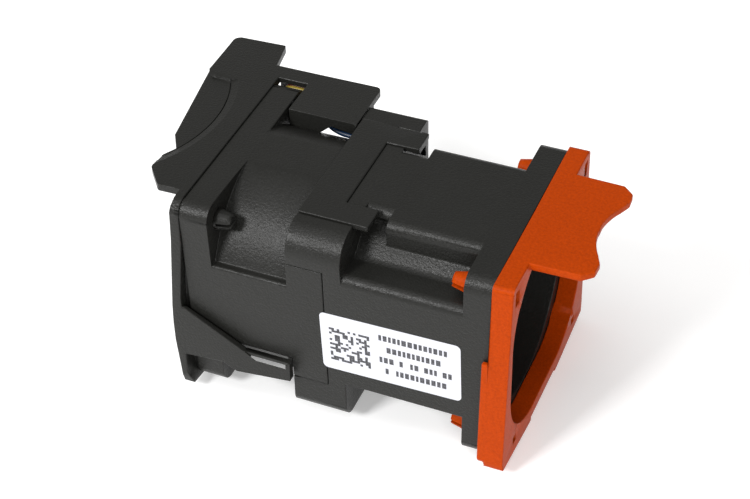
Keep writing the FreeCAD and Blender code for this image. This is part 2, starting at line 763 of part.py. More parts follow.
def add_corner_slots(body, face):
    # Four shallow pockets that keep the corners of the thick bracket from sinking.
    sketch = new_sketch(body, "corner_slots", "YZ_Plane", f"{face} - Size.slot_depth")
    for sign in ("-", ""):
        add_box(sketch, f"{sign}({HALF} - 3.0)", f"{sign}({HALF} - 1.4)", f"{HALF} - 4.4", f"{HALF} - 1.4")
        add_box(sketch, f"{sign}({HALF} - 4.5)", f"{sign}({HALF} - 2.9)", f"-({HALF} - 2.0)",
                f"-({HALF} - 3.7)")
    cut(body, sketch, "2 * Size.slot_depth")


def intake_bracket():
    body = new_body("intake_bracket")
    root = "Size.fan_length / 2 + Size.bracket_gap"
    face = f"{root} + Size.intake_bracket_thickness"
    add_bracket_plate(body, root, "Size.intake_bracket_thickness", HALF, "Size.bracket_corner / 3")
    add_finger_tab(body, face)
    add_lips(body, root)
    add_opening(body, f"{root} - 1", "Size.intake_bracket_thickness + 2")
    add_corner_slots(body, face)
    add_snap_pins(body, root, "-1", "Size.intake_flange")
    return body


def add_finger_tab(body, face):
    # The pull tab: a flat plate with a finger notch in its end.
    sketch = new_sketch(body, "finger_tab", "XY_Plane", f"{HALF} - Size.finger_thickness")
    base = value(face)
    ends = [(base - 1, 12.5), (base + 8.5, 12.3), (base + 10.4, 10.6), (base + 10.5, 8.4), (base + 9.6, 6.4)]
    start = [Vector(x, -y, 0) for x, y in ends]
    finish = [Vector(x, y, 0) for x, y in reversed(ends)]
    for first, second in zip(start[:-1], start[1:]):
        sketch.addGeometry(Part.LineSegment(first, second))
    sketch.addGeometry(Part.Arc(start[-1], Vector(base + 7.9, 0, 0), finish[0]))
    for first, second in zip(finish[:-1], finish[1:]):
        sketch.addGeometry(Part.LineSegment(first, second))
    sketch.addGeometry(Part.LineSegment(finish[-1], start[0]))
    pad(body, sketch, "Size.finger_thickness")


def add_lips(body, root):
    # A lip down each lower side that wraps the flange's edge.
    sketch = new_sketch(body, "lips", "YZ_Plane", f"{root} - Size.lip_wrap")
    inner = f"{HALF} + Size.bracket_gap"
    for sign in ("-", ""):
        add_outline(sketch, [(f"{sign}({inner})", "Size.lip_top"),
                             (f"{sign}({inner} + 0.95)", "Size.lip_top"),
                             (f"{sign}Size.bracket_bottom_half", f"-({HALF} - 2)"),
                             (f"{sign}(Size.bracket_bottom_half - 0.6)", f"-({HALF} - 1)"),
                             (f"{sign}({inner})", f"-({HALF} - 1)")])
    pad(body, sketch, "Size.lip_wrap + 0.5")


def exhaust_bracket():
    body = new_body("exhaust_bracket")
    root = "-Size.fan_length / 2 - Size.bracket_gap"
    outer = f"{root} - Size.exhaust_bracket_thickness"
    add_bracket_plate(body, outer, "Size.exhaust_bracket_thickness", f"{HALF} + Size.bracket_rise",
                      "Size.bracket_corner")
    bow_plate(body, root, outer)
    add_arms(body, root, outer)
    add_finger_plate(body, root)
    add_cable_cover(body, root)
    add_opening(body, f"{outer} - 1", "Size.exhaust_bracket_thickness + 2")
    add_snap_pins(body, root, "1", "Size.exhaust_flange")
    return body


def bow_plate(body, root, outer):
    # The outside is bowed; along both edges the inside is hollowed where the plate springs clear.
    bow = new_sketch(body, "bow", "XZ_Plane")
    far, low = f"{outer} - 1", f"-({HALF} + Size.foot_drop + 1)"
    add_outline(bow, [(far, f"{HALF} + 1"), (f"{root} - 1.6", f"{HALF} + 1"), (f"{root} - 1.9", "13"),
                      (f"{outer} + 0.1", "-2"), (outer, "-6"), (f"{outer} + 0.1", "-10"),
                      (f"{outer} + 0.7", "-16"), (f"{outer} + 1.3", low), (far, low)])
    cut(body, bow, "3 * Size.section", symmetric=True)
    for name, offset in (("front_hollow", f"{HALF} - Size.bow_width"),
                         ("rear_hollow", "-Size.section / 2 - 5")):
        hollow = new_sketch(body, name, "XZ_Plane", offset)
        depth = f"{root} - Size.bow_depth"
        add_outline(hollow, [(f"{root} + 1", "12"), (root, "12"), (depth, "0"), (depth, f"-({HALF} - 3)"),
                             (root, f"-({HALF} - 1)"), (f"{root} + 1", f"-({HALF} - 1)")])
        cut(body, hollow, "5 + Size.bow_width")


def add_finger_plate(body, root):
    # A finger grip: its outer part is stepped down behind a sloping arc.
    top = f"{HALF} + Size.bracket_rise"
    edge, half, back = value(root), value(HALF), value("Size.cover_back")
    plate = new_sketch(body, "finger_plate", "XY_Plane", f"{top} - Size.finger_thickness")
    shoulder = [(edge - 11.9, half - 3.8), (edge - 13.3, half - 1.9), (edge - 13.3, half + 9.5, "1.5"),
                (edge - 3.1, half + 9.9, "0.4"), (edge - 2.0, back)]
    add_outline(plate, [(edge, -(half - 4.0)), (edge - 5.9, -(half - 4.0), "1.0"),
                        (edge - 9.2, -(half - 8.0), "1.5"), (edge - 9.2, -(half - 12.0), "1.5"),
                        (edge - 7.9, -(half - 14.6)), (edge - 9.9, -(half - 18.0), "1.5")]
                + shoulder[1:] + [(edge, back)])
    pad(body, plate, "Size.finger_thickness")
    step = new_sketch(body, "finger_step", "XZ_Plane", f"-({HALF} / 4)")
    step.setExpression("AttachmentOffset.Base.x", f"{edge} - 5.35 - Size.finger_notch")
    low = f"{top} - Size.finger_step"
    add_outline(step, [("0", low), ("Size.finger_notch", low), ("Size.finger_notch + Size.finger_slope", top),
                       ("Size.finger_notch + Size.finger_slope", f"{top} + 1"), ("0", f"{top} + 1")])
    slope = body.newObject("PartDesign::Groove", f"{body.Name}_finger_slope")
    slope.Profile = step
    slope.ReferenceAxis = (step, ["V_Axis"])
    slope.Angle = 360
    raised = new_sketch(body, "finger_shoulder", "XY_Plane", f"{top} - Size.finger_thickness")
    add_outline(raised, [(edge - 8.4, half - 3.6)] + shoulder + [(edge - 2.0, half - 2.0)])
    pad(body, raised, "Size.finger_thickness")


def add_cable_cover(body, root):
    # A roof over the leads with a wall behind them and a rib in front.
    top = f"{HALF} + Size.bracket_rise"
    back, front = "Size.cover_back", "Size.cover_front"
    end, start = "-Size.joint_offset - Size.cover_end", f"-({EXHAUST_INNER}) + 0.6"
    roof = new_sketch(body, "cover_roof", "XY_Plane", f"{top} - Size.cover_skin")
    add_outline(roof, [(f"{root} - 1", f"{HALF} + 0.1"), (start, f"{HALF} + 0.1"), (start, front),
                       (end, front, "0.4"), (end, back, "1.2"), (f"{root} - 1", back)])
    pad(body, roof, "Size.cover_skin")
    wall = new_sketch(body, "cover_wall", "XY_Plane", f"{top} - Size.cover_wall_drop")
    add_box(wall, f"{root} - 1", "-Size.connector_left", f"{back} - Size.cover_skin", back)
    pad(body, wall, "Size.cover_wall_drop")
    rib = new_sketch(body, "cover_rib", "XZ_Plane", f"-({front} + Size.cover_skin)")
    low = f"{top} - Size.cover_rib_drop"
    add_outline(rib, [(start, f"{top} - Size.cover_skin / 2"), (start, low), (f"{start} + 5", low),
                      (f"{start} + 8", f"{low} + 0.9"), (f"{end} - 0.3", f"{low} + 0.9"),
                      (f"{end} - 0.3", f"{top} - Size.cover_skin / 2")])
    pad(body, rib, "Size.cover_skin")


def add_arms(body, root, outer):
    # A gusset and arm on each side, level with the plate's slanted edge; the rear arm ends at the
    # connector housing. Behind the window an arm is only a ledge above and a thin web outside.
    wide, low = "Size.bracket_bottom_half", f"-({HALF} - 2)"
    inner = f"{HALF} + Size.arm_gap"
    ledge, slope_end = "-Size.ledge_top", f"{root} + 10.8"
    for name, end, near in (("front_arm", "-Size.arm_end", inner),
                            ("rear_arm", "-Size.connector_left", f"-({wide})")):
        sketch = new_sketch(body, name, "XZ_Plane", near)
        add_outline(sketch, [(f"{outer} + 0.8", "-2.0"), (f"{root} - 0.3", "-2.0"), (slope_end, ledge),
                             (end, ledge), (end, "-12.2"), (f"{root} + 9", "-13.4"),
                             (f"{root} + 6.5", "-12.1"), (f"{outer} + 0.8", "-12.9")])
        pad(body, sketch, "Size.arm_thickness")
        window = new_sketch(body, name + "_window", "YZ_Plane", slope_end)
        sign = "-" if name == "front_arm" else ""
        add_box(window, f"{sign}({inner} - 1)", f"{sign}({wide} - Size.web_thickness)",
                f"{ledge} - Size.ledge_thickness", "-14")
        cut(body, window, f"{end} - 0.8 - ({slope_end})")
        opening = new_sketch(body, name + "_slot", "XZ_Plane",
                             f"{inner} + Size.ledge_width" if sign else f"-({wide} + 1)")
        add_outline(opening, [(slope_end, f"{ledge} + 0.1"), (f"{slope_end} + 2.4", f"{ledge} - 1.4"),
                              (f"{end} - 0.8", f"{ledge} - 1.4"), (f"{end} - 0.8", f"{ledge} + 1"),
                              (slope_end, f"{ledge} + 1")])
        cut(body, opening, "Size.arm_thickness - Size.ledge_width + 1")
    slant = new_sketch(body, "arm_slant", "YZ_Plane", f"{outer} - 1")
    for sign in ("-", ""):
        add_outline(slant, [(f"{sign}{wide}", low), (f"{sign}({wide} + 2)", low),
                            (f"{sign}({wide} + 2)", HALF), (f"{sign}{HALF}", HALF)])
    cut(body, slant, f"{HALF} + 10")


# ---- connector and leads ----

def connector_housing():
    body = new_body("connector_housing")
    outer = new_sketch(body, "shell", "XY_Plane", "-Size.connector_bottom")
    add_box(outer, "-Size.connector_left", "-Size.connector_right", "Size.connector_front", "Size.cover_back")
    pad(body, outer, "Size.connector_bottom + Size.connector_top")
    near, shoulder, heel = head_corners("0")
    back = f"{near[0]} + Size.head_depth"
    bridge = new_sketch(body, "bridge", "YZ_Plane", "-Size.head_left")
    add_outline(bridge, [heel, ("Size.cover_back", heel[1]), ("Size.cover_back", f"{heel[1]} + 0.6"),
                         (back, f"{HALF} - 5"), (heel[0], f"{HALF} - 5")])
    pad(body, bridge, "Size.head_left - Size.connector_right")
    head = new_sketch(body, "head", "YZ_Plane", "-Size.head_left")
    add_outline(head, [near, shoulder, heel, (back, heel[1]), (back, HALF, "0.8"), (near[0], HALF)])
    pad(body, head, "Size.head_left + Size.head_right")
    mouth = new_sketch(body, "mouth", "XY_Plane", "-Size.connector_bottom")
    wall = "Size.connector_wall"
    add_box(mouth, f"-Size.connector_left + {wall}", f"-Size.connector_right - {wall}",
            f"Size.connector_front + {wall}", f"Size.cover_back - {wall}")
    cut(body, mouth, "6")


def connector_contacts():
    body = new_body("connector_contacts")
    sketch = new_sketch(body, "contacts", "XY_Plane", "-Size.connector_bottom + 1")
    middle = "-(Size.connector_left + Size.connector_right) / 2"
    depth = "(Size.connector_front + Size.cover_back) / 2"
    half = "Size.contact_size / 2"
    for index in range(int(value("Size.contact_count"))):
        step = f"({index} - (Size.contact_count - 1) / 2) * Size.contact_pitch"
        add_box(sketch, f"{middle} + {step} - {half}", f"{middle} + {step} + {half}", f"{depth} - {half}",
                f"{depth} + {half}")
    pad(body, sketch, "5")


def tube_along(points, radius):
    # A round lead: straight runs joined by tangent arcs as large as the runs allow.
    edges, start = [], points[0]
    for before, here, after in zip(points[:-2], points[1:-1], points[2:]):
        back, ahead = (before - here), (after - here)
        turned = math.pi - back.getAngle(ahead)
        reach = 0.45 * min(back.Length, ahead.Length)
        arc_start = here + back.normalize() * reach
        arc_end = here + ahead.normalize() * reach
        bend = reach / math.tan(turned / 2)
        inward = (back + ahead).normalize()
        centre = here + inward * math.hypot(bend, reach)
        edges.append(Part.LineSegment(start, arc_start).toShape())
        edges.append(Part.Arc(arc_start, centre - inward * bend, arc_end).toShape())
        print("lead bend radius %.2f" % bend)
        start = arc_end
    edges.append(Part.LineSegment(start, points[-1]).toShape())
    path = Part.Wire(edges)
    circle = Part.Wire(Part.makeCircle(radius, points[0], points[1] - points[0]))
    solid = path.makePipeShell([circle], True, True)
    print("lead volume %.3f against %.3f" % (solid.Volume, math.pi * radius ** 2 * path.Length))
    return solid


def add_lead(name, points):
    item = doc.addObject("Part::Feature", name)
    item.Shape = tube_along(points, value("Size.lead_radius"))
    item.Placement = Placement(Vector(0, 0, value(HALF)), Rotation())


LEAD_COLOURS = (("red", -1, -1), ("black", 1, -1), ("yellow", -1, 1), ("blue", 1, 1))


def exhaust_leads():
    # From the motor base along its channel, up outside the flange and forward under the cover.
    pitch = value("Size.lead_pitch") / 2
    channel = value("(Size.exhaust_motor_face - Size.base_thickness)") - value("Size.lead_pitch") + 0.05
    across = value("Size.connector_front + Size.lead_radius") + pitch
    corner, head = -value(EXHAUST_INNER), -value("Size.head_left")
    rise, entry = value(HALF) - 3.1, value("Size.head_sole") + 0.3
    for colour, side, layer in LEAD_COLOURS:
        x, y, low = channel - layer * pitch, across + side * pitch, -side * pitch
        high, aside = rise + layer * pitch, value(HALF) - 4.0 + side * pitch
        spread = side * pitch / 3
        points = [Vector(x, value("Size.base_radius") + 0.1, low), Vector(x, y, low), Vector(x, y, high),
                  Vector(corner + 1.5 + spread, y, high),
                  Vector(head - 2.5 + spread, aside, entry + layer * pitch),
                  Vector(head, aside, entry + layer * pitch)]
        add_lead(f"exhaust_lead_{colour}", points)


def intake_leads():
    # From the motor base straight out along its channel to the connector housing.
    pitch = value("Size.lead_pitch") / 2
    channel = value("Size.intake_motor_face - Size.base_thickness - Size.lead_pitch") + 0.05
    for colour, side, layer in LEAD_COLOURS:
        x, level = channel - layer * pitch, -side * pitch
        points = [Vector(x, value("Size.base_radius") + 0.1, level),
                  Vector(x, value("Size.connector_front"), level)]
        add_lead(f"intake_lead_{colour}", points)


# ---- build, check and write ----

def check_all():
    faults = [item.Name for item in doc.Objects if {"Invalid", "Error"} & set(item.State)]
    parts = [item for item in doc.Objects
             if item.TypeId in ("PartDesign::Body", "Part::Feature") and not item.getParentGeoFeatureGroup()]
    for item in parts:
        if item.Shape.isNull() or not item.Shape.isValid():
            faults.append(item.Label)
    if faults:
        raise RuntimeError("failed: " + ", ".join(faults))
    return parts


def write_parts(parts):
    os.makedirs("parts", exist_ok=True)
    for item in parts:
        item.Shape.exportStep(f"parts/{item.Label}.step")
        print(f"{item.Label}: {len(item.Shape.Solids)} solid(s), {item.Shape.Volume:.1f} mm3")


fill_sheet()
intake_fan_frame()
exhaust_fan_frame()
motor("intake", "Size.intake_motor_face")
motor("exhaust", "Size.exhaust_motor_face")
impeller("intake", "Size.intake_motor_face", 1)
impeller("exhaust", "Size.exhaust_motor_face", -1)
intake_bracket()
exhaust_bracket()
connector_housing()
connector_contacts()
exhaust_leads()
intake_leads()
doc.recompute()
write_parts(check_all())
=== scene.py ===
import json
import math
import bmesh
import bpy
import numpy as np
from mathutils import Matrix, Vector


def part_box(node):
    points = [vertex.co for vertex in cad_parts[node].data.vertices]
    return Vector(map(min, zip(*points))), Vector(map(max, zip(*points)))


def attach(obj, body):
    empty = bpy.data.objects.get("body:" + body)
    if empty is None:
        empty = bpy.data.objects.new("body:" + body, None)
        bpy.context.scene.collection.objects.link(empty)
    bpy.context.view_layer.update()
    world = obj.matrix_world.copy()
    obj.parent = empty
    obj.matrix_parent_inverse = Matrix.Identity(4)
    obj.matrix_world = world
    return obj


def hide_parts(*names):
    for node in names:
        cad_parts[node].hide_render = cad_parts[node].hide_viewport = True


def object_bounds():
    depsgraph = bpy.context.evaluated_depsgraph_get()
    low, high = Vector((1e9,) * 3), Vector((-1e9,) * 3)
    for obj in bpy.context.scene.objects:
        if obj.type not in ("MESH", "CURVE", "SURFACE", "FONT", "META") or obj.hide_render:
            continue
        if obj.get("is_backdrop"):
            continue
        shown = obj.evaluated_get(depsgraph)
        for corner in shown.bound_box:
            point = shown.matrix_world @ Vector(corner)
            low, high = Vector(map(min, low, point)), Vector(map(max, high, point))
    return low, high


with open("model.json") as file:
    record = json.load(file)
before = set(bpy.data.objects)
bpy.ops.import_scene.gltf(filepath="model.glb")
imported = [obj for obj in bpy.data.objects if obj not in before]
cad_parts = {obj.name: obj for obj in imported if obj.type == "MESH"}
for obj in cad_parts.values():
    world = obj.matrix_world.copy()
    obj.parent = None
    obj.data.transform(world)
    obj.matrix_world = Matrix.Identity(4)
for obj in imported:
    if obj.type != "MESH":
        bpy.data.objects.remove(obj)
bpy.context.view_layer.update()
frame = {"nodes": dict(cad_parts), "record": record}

mm = 0.001
nodes = frame["nodes"]
bodyOf = {node: body for body, members in frame["record"]["behaviour"]["bodies"].items() for node in members}
print("frame loaded:", len(nodes), "nodes")


def toLinear(hexColour):
    # sRGB hex to linear red, green, blue and a full alpha
    parts = [int(hexColour[i:i + 2], 16) / 255 for i in (1, 3, 5)]
    return [c / 12.92 if c <= 0.04045 else ((c + 0.055) / 1.055) ** 2.4 for c in parts] + [1.0]


def addNode(tree, kind, settings=None, inputs=None):
    # settings go on the node, inputs are values or the sockets that feed them
    node = tree.nodes.new(kind)
    for name, value in (settings or {}).items():
        setattr(node, name, value)
    for name, value in (inputs or {}).items():
        socket = node.inputs[name]
        if isinstance(value, bpy.types.NodeSocket):
            tree.links.new(value, socket)
        else:
            socket.default_value = value
    return node


def ramp(tree, factor, stops):
    # a colour ramp from a list of (position, grey level or hex colour)
    node = addNode(tree, "ShaderNodeValToRGB", {}, {"Fac": factor})
    node.color_ramp.elements[0].position = stops[0][0]
    node.color_ramp.elements[1].position = stops[-1][0]
    for position, level in stops[1:-1]:
        node.color_ramp.elements.new(position)
    for element, (position, level) in zip(node.color_ramp.elements, stops):
        element.color = toLinear(level) if isinstance(level, str) else (level, level, level, 1)
    return node.outputs["Color"]


def startMaterial(name):
    material = bpy.data.materials.new(name)
    material.use_nodes = True
    tree = material.node_tree
    tree.nodes.clear()
    output = addNode(tree, "ShaderNodeOutputMaterial")
    shader = addNode(tree, "ShaderNodeBsdfPrincipled")
    tree.links.new(shader.outputs["BSDF"], output.inputs["Surface"])
    coords = addNode(tree, "ShaderNodeTexCoord").outputs["Object"]
    return material, tree, shader, coords


def mouldedPlastic(name, values):
    # Injection-moulded thermoplastic with a spark-eroded grain: each grain tilts the surface a little,
    # which breaks a highlight into specks, and slow waves of gloss follow the way the melt flowed.
    material, tree, shader, coords = startMaterial(name)
    grain = addNode(tree, "ShaderNodeTexNoise", {}, {
        "Vector": coords, "Scale": 1 / (values["grainSize"] * mm), "Detail": 2.5, "Roughness": 0.7})
    cloud = addNode(tree, "ShaderNodeTexNoise", {}, {
        "Vector": coords, "Scale": 1 / (values["cloudSize"] * mm), "Detail": 3.0, "Roughness": 0.55})
    tone = addNode(tree, "ShaderNodeMix", {"data_type": "RGBA"}, {
        "A": toLinear(values["dark"]), "B": toLinear(values["light"]), "Factor": cloud.outputs["Fac"]})
    pits = addNode(tree, "ShaderNodeMapRange", {}, {
        "Value": grain.outputs["Fac"], "From Min": 0.25, "From Max": 0.75, "To Min": 0.8, "To Max": 1.15})
    shade = addNode(tree, "ShaderNodeHueSaturation", {}, {
        "Color": tone.outputs["Result"], "Value": pits.outputs["Result"]})
    tree.links.new(shade.outputs["Color"], shader.inputs["Base Color"])
    gloss = addNode(tree, "ShaderNodeMapRange", {}, {
        "Value": cloud.outputs["Fac"], "From Min": 0.3, "From Max": 0.7,
        "To Min": values["roughness"] - 0.04, "To Max": values["roughness"] + 0.04})
    tree.links.new(gloss.outputs["Result"], shader.inputs["Roughness"])
    bump = addNode(tree, "ShaderNodeBump", {}, {
        "Strength": values["bump"], "Distance": values["grainDepth"] * mm, "Height": grain.outputs["Fac"]})
    tree.links.new(bump.outputs["Normal"], shader.inputs["Normal"])
    shader.inputs["IOR"].default_value = 1.5
    shader.inputs["Specular IOR Level"].default_value = values["specular"]
    return material


def turnedMetal(name, values):
    # Turned, ground or drawn metal: fine rings about the airflow axis stretch the highlight.
    material, tree, shader, coords = startMaterial(name)
    stretched = addNode(tree, "ShaderNodeMapping", {}, {
        "Vector": coords, "Scale": (1 / (values["pitch"] * mm), 40, 40)})
    rings = addNode(tree, "ShaderNodeTexNoise", {}, {
        "Vector": stretched.outputs["Vector"], "Scale": 1.0, "Detail": 2.0})
    tone = addNode(tree, "ShaderNodeMix", {"data_type": "RGBA"}, {
        "A": toLinear(values["dark"]), "B": toLinear(values["light"]), "Factor": rings.outputs["Fac"]})
    tree.links.new(tone.outputs["Result"], shader.inputs["Base Color"])
    bump = addNode(tree, "ShaderNodeBump", {}, {
        "Strength": 0.4, "Distance": 0.01 * mm, "Height": rings.outputs["Fac"]})
    tree.links.new(bump.outputs["Normal"], shader.inputs["Normal"])
    shader.inputs["Metallic"].default_value = values["metallic"]
    shader.inputs["Roughness"].default_value = values["roughness"]
    return material


def wireJacket(name, colour):
    # Extruded wire insulation: smooth and slightly waxy, with the faint ripple of the strands.
    material, tree, shader, coords = startMaterial(name)
    ripple = addNode(tree, "ShaderNodeTexNoise", {}, {"Vector": coords, "Scale": 1 / (0.6 * mm), "Detail": 1.0})
    tone = addNode(tree, "ShaderNodeHueSaturation", {}, {"Color": toLinear(colour)})
    shade = addNode(tree, "ShaderNodeMapRange", {}, {"Value": ripple.outputs["Fac"], "To Min": 0.85, "To Max": 1.1})
    tree.links.new(shade.outputs["Result"], tone.inputs["Value"])
    tree.links.new(tone.outputs["Color"], shader.inputs["Base Color"])
    bump = addNode(tree, "ShaderNodeBump", {}, {
        "Strength": 0.3, "Distance": 0.03 * mm, "Height": ripple.outputs["Fac"]})
    tree.links.new(bump.outputs["Normal"], shader.inputs["Normal"])
    shader.inputs["Roughness"].default_value = 0.38
    return material


def circuitLacquer(name):
    # Solder mask over copper: satin green with darker and lighter tracks.
    material, tree, shader, coords = startMaterial(name)
    tracks = addNode(tree, "ShaderNodeTexVoronoi", {"distance": "CHEBYCHEV"}, {
        "Vector": coords, "Scale": 1 / (1.6 * mm), "Randomness": 0.6})
    colour = ramp(tree, tracks.outputs["Distance"], [(0.2, "#0b5a33"), (0.24, "#07401f")])
    tree.links.new(colour, shader.inputs["Base Color"])
    shader.inputs["Roughness"].default_value = 0.3
    return material


def enamelledCopper(name):
    # Enamelled copper wire: the turns lie side by side across the airflow axis.
    material, tree, shader, coords = startMaterial(name)
    turns = addNode(tree, "ShaderNodeTexWave", {"bands_direction": "X"}, {
        "Vector": coords, "Scale": 1 / (0.9 * mm), "Distortion": 0.6, "Detail": 1.0})
    colour = ramp(tree, turns.outputs["Fac"], [(0.1, "#5a260c"), (0.9, "#b4622a")])
    tree.links.new(colour, shader.inputs["Base Color"])
    bump = addNode(tree, "ShaderNodeBump", {}, {
        "Strength": 0.7, "Distance": 0.08 * mm, "Height": turns.outputs["Fac"]})
    tree.links.new(bump.outputs["Normal"], shader.inputs["Normal"])
    shader.inputs["Metallic"].default_value = 0.6
    shader.inputs["Roughness"].default_value = 0.35
    return material


def stickerFilm(name):
    # Coated polyester sticker film: white, nearly matt, with a faint fibre mottle.
    material, tree, shader, coords = startMaterial(name)
    mottle = addNode(tree, "ShaderNodeTexNoise", {}, {"Vector": coords, "Scale": 1 / (0.9 * mm), "Detail": 4.0})
    tone = addNode(tree, "ShaderNodeMix", {"data_type": "RGBA"}, {
        "A": toLinear("#c6c7ce"), "B": toLinear("#d0d1d8"), "Factor": mottle.outputs["Fac"]})
    tree.links.new(tone.outputs["Result"], shader.inputs["Base Color"])
    shader.inputs["Roughness"].default_value = 0.5
    return material


def printInk(name):
    # Thermal-transfer ink: dark grey, a little uneven where the film lies on the grain.
    material, tree, shader, coords = startMaterial(name)
    mottle = addNode(tree, "ShaderNodeTexNoise", {}, {"Vector": coords, "Scale": 1 / (0.25 * mm), "Detail": 2.0})
    colour = ramp(tree, mottle.outputs["Fac"], [(0.35, "#232326"), (0.7, "#56565c")])
    tree.links.new(colour, shader.inputs["Base Color"])
    shader.inputs["Roughness"].default_value = 0.55
    return material


plasticValues = {
    "blackNylon": {"dark": "#1c1c1a", "light": "#20201e", "specular": 0.22, "roughness": 0.34, "grainSize": 0.42,
                   "grainDepth": 0.1, "bump": 1.0, "cloudSize": 9.0},
    "orangeNylon": {"dark": "#9d3502", "light": "#a83a03", "specular": 0.05, "roughness": 0.38, "grainSize": 0.45,
                    "grainDepth": 0.05, "bump": 0.7, "cloudSize": 12.0},
    "bladePbt": {"dark": "#161617", "light": "#1b1b1c", "specular": 0.35, "roughness": 0.4, "grainSize": 0.3,
                 "grainDepth": 0.01, "bump": 0.25, "cloudSize": 10.0},
    "bondedFerrite": {"dark": "#2a2a2c", "light": "#343436", "specular": 0.3, "roughness": 0.6, "grainSize": 0.15,
                      "grainDepth": 0.02, "bump": 0.5, "cloudSize": 4.0}}
metalValues = {
    "groundSteel": {"dark": "#9a9a9c", "light": "#c4c4c8", "pitch": 0.08, "metallic": 1.0, "roughness": 0.22},
    "drawnSteel": {"dark": "#77777a", "light": "#9d9da0", "pitch": 0.3, "metallic": 1.0, "roughness": 0.35},
    "laminatedSteel": {"dark": "#46464a", "light": "#86868a", "pitch": 0.35, "metallic": 0.9, "roughness": 0.45},
    "turnedBrass": {"dark": "#a8863c", "light": "#c9a551", "pitch": 0.1, "metallic": 1.0, "roughness": 0.3}}
leadColours = {"red": "#6d0f18", "black": "#151517", "yellow": "#a8923a", "blue": "#16304f"}

finishes = {name: mouldedPlastic(name, values) for name, values in plasticValues.items()}
finishes.update({name: turnedMetal(name, values) for name, values in metalValues.items()})
finishes.update({"lead_" + name: wireJacket("wireJacket_" + name, colour) for name, colour in leadColours.items()})
finishes["circuitLacquer"] = circuitLacquer("circuitLacquer")
finishes["enamelledCopper"] = enamelledCopper("enamelledCopper")
finishes["stickerFilm"] = stickerFilm("stickerFilm")
finishes["printInk"] = printInk("printInk")
slotFinish = {
    "black_plastic": "blackNylon", "orange_plastic": "orangeNylon", "impeller_plastic": "bladePbt",
    "brass": "turnedBrass", "board": "circuitLacquer", "lamination": "laminatedSteel",
    "copper_wire": "enamelledCopper", "bearing_steel": "groundSteel", "magnet": "bondedFerrite",
    "steel_cup": "drawnSteel", "contact_gold": "turnedBrass"}
slotOf = {part["node"]: part["material_slot"] for part in frame["record"]["subparts"]}


def finishOf(node):
    slot = slotOf[node]
    return finishes[slotFinish.get(slot, slot)]


for name, obj in nodes.items():
    obj.data.materials.clear()
    obj.data.materials.append(finishOf(name))
print("materials made:", len(finishes))


def addPiece(name, mesh, body, finish):
    obj = bpy.data.objects.new(name, mesh)
    bpy.context.scene.collection.objects.link(obj)
    mesh.materials.clear()
    mesh.materials.append(finishes[finish] if isinstance(finish, str) else finish)
    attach(obj, body)
    return obj


# Edge radius of each moulding in mm; round its snap pins the edges stay as they are.
edgeValues = {"intake_fan_frame": 0.22, "exhaust_fan_frame": 0.22, "intake_bracket": 0.28, "exhaust_bracket": 0.2,
              "connector_housing": 0.18}
edgeAngle, creaseAngle, flatAngle = math.radians(30), math.radians(32), math.radians(0.4)
weldGap = 0.0005  # mm, joins the node's split vertices
thinLimit = 2.1  # a face narrower than this many radii keeps its edges
axisHeight, pinCentre, pinRoom = 20, 16.0, 2.4  # mm, the pins stand at the corners of a square about the axis
plateMiddle = (0, 0, 0.02015)  # m, just off the axis, so that the cuts miss the opening's own vertices
armValues = {"across": 20.5, "top": 12, "span": (-19, -8)}  # mm, where the two thin latch arms are


def nearPin(point):
    across, up = abs(point.y) / mm - pinCentre, abs(point.z / mm - axisHeight) - pinCentre
    return math.hypot(across, up) < pinRoom


def onArm(point):
    # the latch arms are thin: their edges stay as moulded
    low, high = armValues["span"]
    return (abs(point.y) > armValues["across"] * mm and point.z < armValues["top"] * mm
            and low * mm < point.x < high * mm)


def easeEdges(node, radius, reshape=None):
    # A moulding's edges are never sharp: the node's copy has its edges over the edge angle rounded, save those on
    # faces too thin for the radius and, on the brackets, those by the pins and on the latch arms.
    mesh = nodes[node].data.copy()
    work = bmesh.new()
    work.from_mesh(mesh)
    bmesh.ops.remove_doubles(work, verts=work.verts, dist=weldGap * mm)
    if reshape:
        reshape(work)
    bmesh.ops.dissolve_limit(work, angle_limit=flatAngle, verts=work.verts, edges=work.edges)
    if node == "intake_bracket":
        for across in ((0, 1, 0), (0, 0, 1)):  # quarters the plate, so that no face runs round the opening
            bmesh.ops.bisect_plane(work, geom=work.verts[:] + work.edges[:] + work.faces[:], dist=1e-7,
                                   plane_co=plateMiddle, plane_no=across)
    pinned = "bracket" in node
    chosen = []
    for edge in work.edges:
        if len(edge.link_faces) != 2 or edge.calc_face_angle(0) < edgeAngle:
            continue
        middle = (edge.verts[0].co + edge.verts[1].co) / 2
        if pinned and (nearPin(middle) or onArm(middle)):
            continue
        thin = min(face.calc_area() / max(e.calc_length() for e in face.edges) for face in edge.link_faces)
        if thin > thinLimit * radius * mm:
            chosen.append(edge)
    bmesh.ops.bevel(work, geom=chosen, offset=radius * mm, segments=2, profile=0.5, affect="EDGES",
                    clamp_overlap=False, offset_type="OFFSET")
    bmesh.ops.triangulate(work, faces=[f for f in work.faces if len(f.verts) > 4])
    for face in work.faces:
        face.smooth = True
    work.to_mesh(mesh)
    work.free()
    mesh.set_sharp_from_angle(angle=creaseAngle)
    piece = addPiece("moulded_" + node, mesh, bodyOf[node], finishOf(node))
    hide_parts(node)
    print("edges eased on", node, len(chosen), len(mesh.polygons))
    return piece


# The cover's slanted rib in mm: its span in y, each corner (x, z) as in the CAD and then as shown, and its
# lower edge, which drops from one height to the other behind x = edge.
ribValues = {"span": (11.6, 13), "close": 0.03, "edge": -17.5, "drop": (37.0, 36.5),
             "corners": {(-17.2, 37.0): (-16.2, 36.5), (-14.2, 37.9): (-14.0, 38.45), (-9.2, 37.9): (-9.2, 37.7)}}


